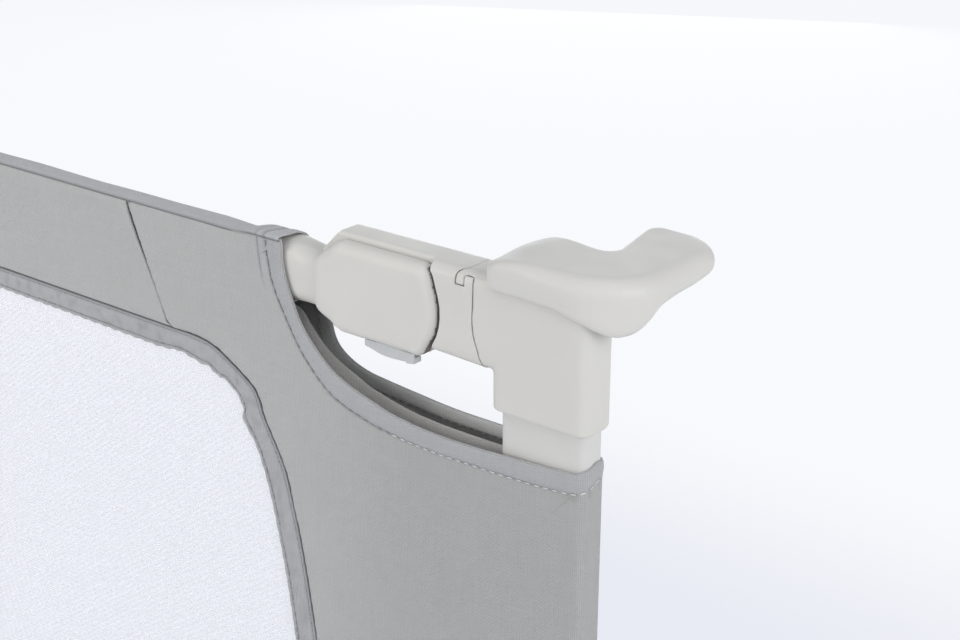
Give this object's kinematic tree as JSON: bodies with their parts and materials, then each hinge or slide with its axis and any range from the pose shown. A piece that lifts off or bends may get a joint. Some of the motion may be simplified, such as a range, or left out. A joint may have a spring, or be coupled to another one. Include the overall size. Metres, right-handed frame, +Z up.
{
  "type": "folding bed guard rail",
  "caption": "Folding bed guard rail: cloth-covered beam with a mesh window, corner grips, and posts that fold in under the beam with folding under-mattress feet.",
  "frame": {"origin": "middle of the footprint, on the surface that the rail stands on", "axes": "+X along the rail, +Y towards the bed, +Z up"},
  "size_m": [1.528, 0.449, 0.625],
  "materials": {
    "plastic": "fine satin moulding, warm light grey",
    "button_plastic": "satin, a little darker than the housing",
    "painted_tube": "satin powder coat on steel tube",
    "steel": "zinc plated",
    "cloth": "plain woven polyester",
    "dark_cloth": "plain woven binding and lining",
    "netting": "open knitted net",
    "rubber": "matt"
  },
  "bodies": {
    "beam": {"beam_tube": "painted_tube", "cover_sleeve": "cloth", "cover_upper_band": "cloth", "cover_lower_band": "cloth", "window_binding": "dark_cloth", "window_mesh": "netting", "hem_webbing": "dark_cloth", "right_beam_knuckle": "plastic", "right_beam_rivet": "steel", "right_fold_pin": "steel", "right_fold_washer": "steel", "right_button_spring": "steel", "right_sleeve_band": "cloth", "left_beam_knuckle": "plastic", "left_beam_rivet": "steel", "left_fold_pin": "steel", "left_fold_washer": "steel", "left_button_spring": "steel", "left_sleeve_band": "cloth"},
    "right_post": {"right_arm": "plastic", "right_corner_casting": "plastic", "right_spigot_screw": "steel", "right_post_screw": "steel", "right_corner_cap": "plastic", "right_post": "painted_tube", "right_cover_pocket": "cloth", "right_pocket_liner": "dark_cloth", "right_foot_bracket": "plastic", "right_bracket_screw": "steel", "right_bracket_pad": "rubber", "right_foot_pin": "steel"},
    "right_foot": {"right_foot_knuckle": "plastic", "right_foot_tube": "painted_tube", "right_foot_boot": "rubber"},
    "right_button": {"right_release_button": "button_plastic"},
    "left_post": {"left_arm": "plastic", "left_corner_casting": "plastic", "left_spigot_screw": "steel", "left_post_screw": "steel", "left_corner_cap": "plastic", "left_post": "painted_tube", "left_cover_pocket": "cloth", "left_pocket_liner": "dark_cloth", "left_foot_bracket": "plastic", "left_bracket_screw": "steel", "left_bracket_pad": "rubber", "left_foot_pin": "steel"},
    "left_foot": {"left_foot_knuckle": "plastic", "left_foot_tube": "painted_tube", "left_foot_boot": "rubber"},
    "left_button": {"left_release_button": "button_plastic"}
  },
  "joints": [
    {"name": "right_fold", "type": "hinge", "parent": "beam", "child": "right_post", "pos_m": [0.656, -0.2105, 0.5745], "axis": [0, 1, 0], "range_deg": [0, 90], "deforming": ["cover_upper_band", "cover_lower_band", "window_binding", "window_mesh", "hem_webbing", "right_cover_pocket", "right_pocket_liner"]},
    {"name": "right_foot_fold", "type": "hinge", "parent": "right_post", "child": "right_foot", "pos_m": [0.72, -0.1865, 0.012], "axis": [1, 0, 0], "range_deg": [0, 90]},
    {"name": "right_button_press", "type": "slide", "parent": "beam", "child": "right_button", "axis": [0, 0, 1], "range_m": [0, 0.004], "stiffness_N_per_m": 300, "springref_m": -0.003, "deforming": ["right_button_spring"]},
    {"name": "left_fold", "type": "hinge", "parent": "beam", "child": "left_post", "pos_m": [-0.656, -0.2105, 0.5745], "axis": [0, 1, 0], "range_deg": [-90, 0], "deforming": ["left_cover_pocket", "left_pocket_liner"]},
    {"name": "left_foot_fold", "type": "hinge", "parent": "left_post", "child": "left_foot", "pos_m": [-0.72, -0.1865, 0.012], "axis": [1, 0, 0], "range_deg": [0, 90]},
    {"name": "left_button_press", "type": "slide", "parent": "beam", "child": "left_button", "axis": [0, 0, 1], "range_m": [0, 0.004], "stiffness_N_per_m": 300, "springref_m": -0.003, "deforming": ["left_button_spring"]}
  ],
  "couplings": [
    {"joint": "left_fold", "follows": "right_fold", "ratio": -1}
  ]
}
